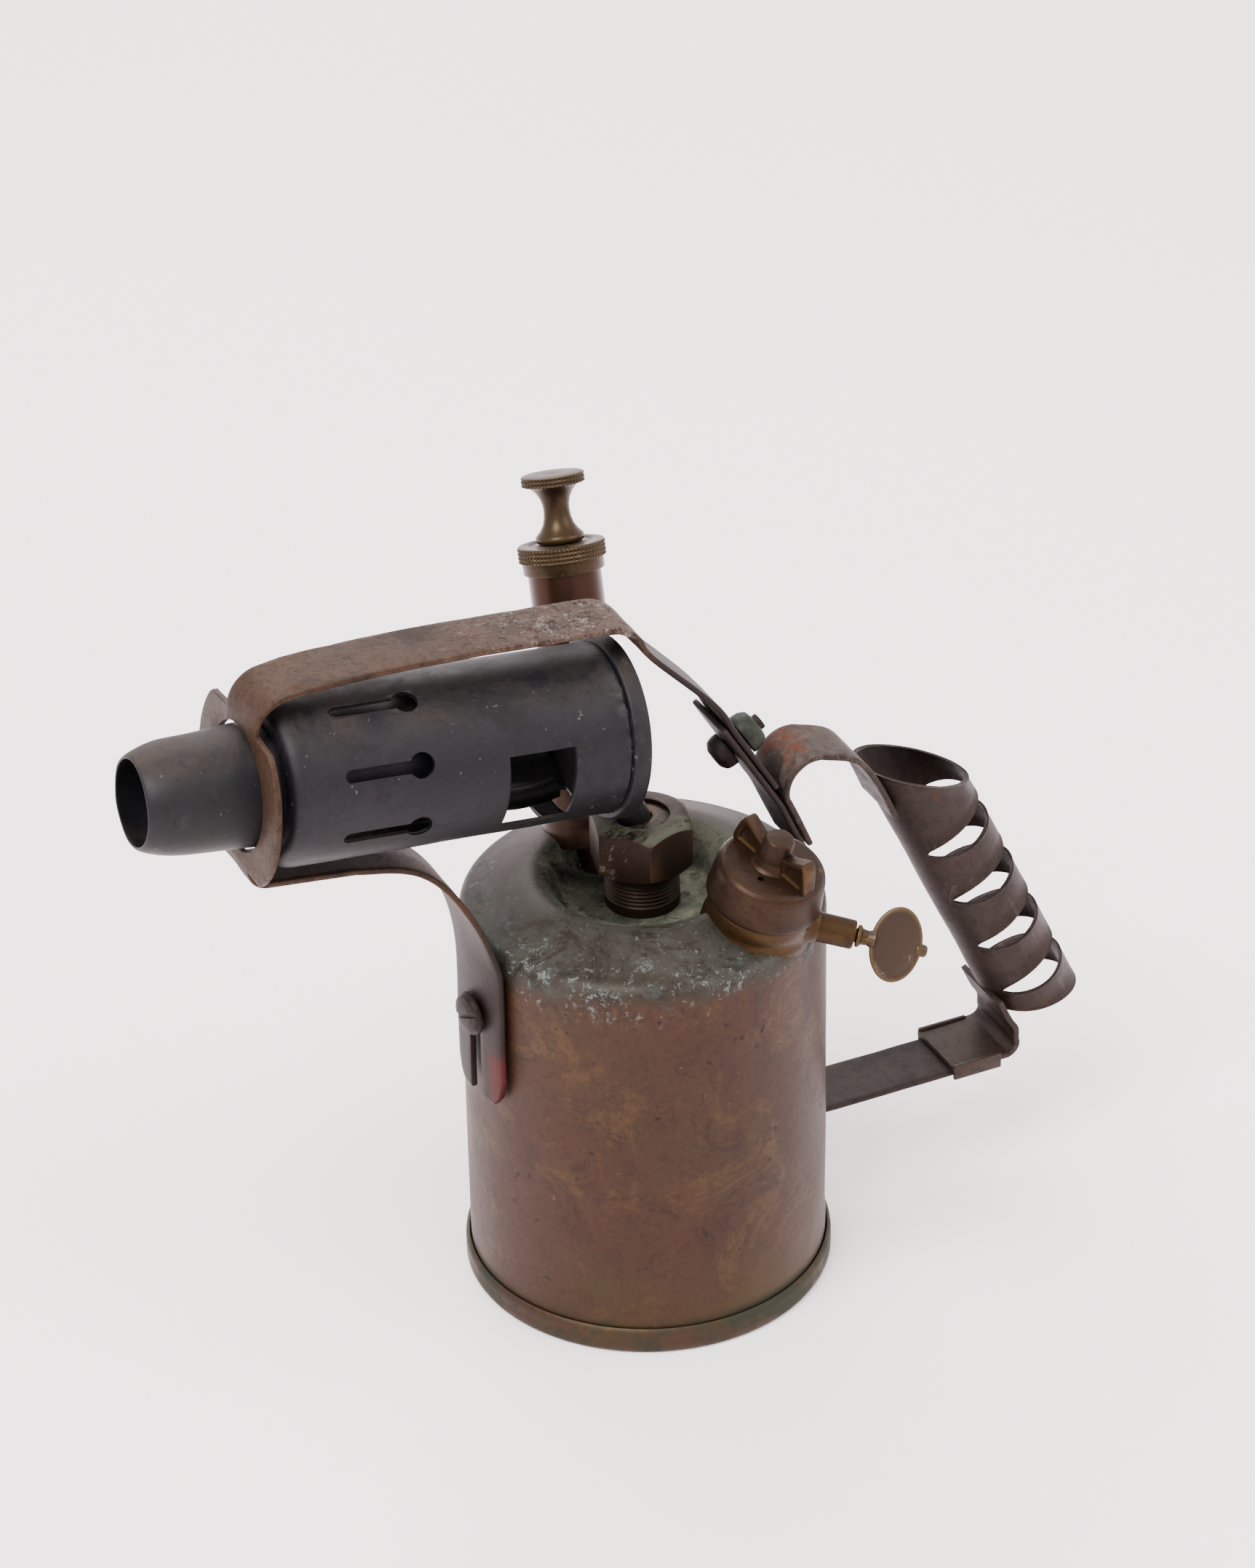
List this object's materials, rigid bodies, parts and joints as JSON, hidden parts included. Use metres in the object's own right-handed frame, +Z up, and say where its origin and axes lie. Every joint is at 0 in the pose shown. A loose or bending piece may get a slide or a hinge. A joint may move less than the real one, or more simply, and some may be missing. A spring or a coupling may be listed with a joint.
{
  "type": "blowlamp",
  "caption": "Paraffin blowlamp: round tank with hand pump, filler and release screw, horizontal burner in a guard strap, and a slanted tube handle.",
  "frame": {"origin": "centre of the tank's flat base, on the surface it stands on", "axes": "+Z up, the nozzle points towards -X, the handle is on +X and the pump on +Y"},
  "size_m": [0.2655, 0.1203, 0.2071],
  "materials": {
    "tank_brass": "aged, brown, with dark spots and pale green marks on the shoulder",
    "turned_brass": "turned, tarnished",
    "dark_brass": "cast and turned, olive brown tarnish",
    "tube_brass": "drawn tube, purple brown tarnish",
    "black_steel": "heat-blackened sheet, dusty on top",
    "rusty_steel": "strip, dark with light brown rust",
    "spring_steel": "plain drawn wire and rod",
    "black_rubber": "matt",
    "pump_leather": "oiled",
    "cotton": "twisted wick"
  },
  "bodies": {
    "tank": {"tank_shell": "tank_brass", "base_plate": "tank_brass", "burner_boss": "turned_brass", "fuel_pipe": "turned_brass", "fuel_wick": "cotton", "union_nut": "dark_brass", "riser_tube": "black_steel", "rear_ring": "black_steel", "burner_casing": "black_steel", "vaporiser_pipe": "black_steel", "jet_holder": "turned_brass", "flame_tube": "black_steel", "guard_strap": "rusty_steel", "guard_lug": "turned_brass", "guard_screw": "rusty_steel", "back_strap": "rusty_steel", "handle_grip": "rusty_steel", "clamp_bolt": "rusty_steel", "clamp_nut": "turned_brass", "pump_collar": "dark_brass", "pump_barrel": "tube_brass", "pump_cap": "dark_brass", "valve_body": "turned_brass", "valve_disc": "black_rubber", "valve_spring": "spring_steel", "filler_neck": "dark_brass"},
    "plunger": {"pump_knob": "dark_brass", "pump_rod": "spring_steel", "piston_plate": "turned_brass", "cup_leather": "pump_leather", "piston_nut": "turned_brass"},
    "cap_seal": {"cap_washer": "black_rubber"},
    "filler_cap": {"filler_cap": "dark_brass"},
    "release_screw": {"release_screw": "dark_brass"}
  },
  "joints": [
    {"name": "pump_stroke", "type": "slide", "parent": "tank", "child": "plunger", "axis": [0.0485, 0.35, 0.9355], "range_m": [0, 0.075]},
    {"name": "cap_lift", "type": "slide", "parent": "tank", "child": "cap_seal", "axis": [0.129, -0.224, 0.966], "range_m": [0, 0.006]},
    {"name": "cap_turn", "type": "hinge", "parent": "cap_seal", "child": "filler_cap", "pos_m": [0.0179, -0.0281, 0.1111], "axis": [0.129, -0.224, 0.966], "range_deg": [0, 1080]},
    {"name": "release_turn", "type": "hinge", "parent": "tank", "child": "release_screw", "pos_m": [0.01867, -0.02944, 0.1169], "axis": [0.8346, -0.5014, -0.2282], "range_deg": [0, 720]}
  ],
  "couplings": [
    {"joint": "cap_turn", "follows": "cap_lift", "rad_per_m": 3141.6}
  ]
}
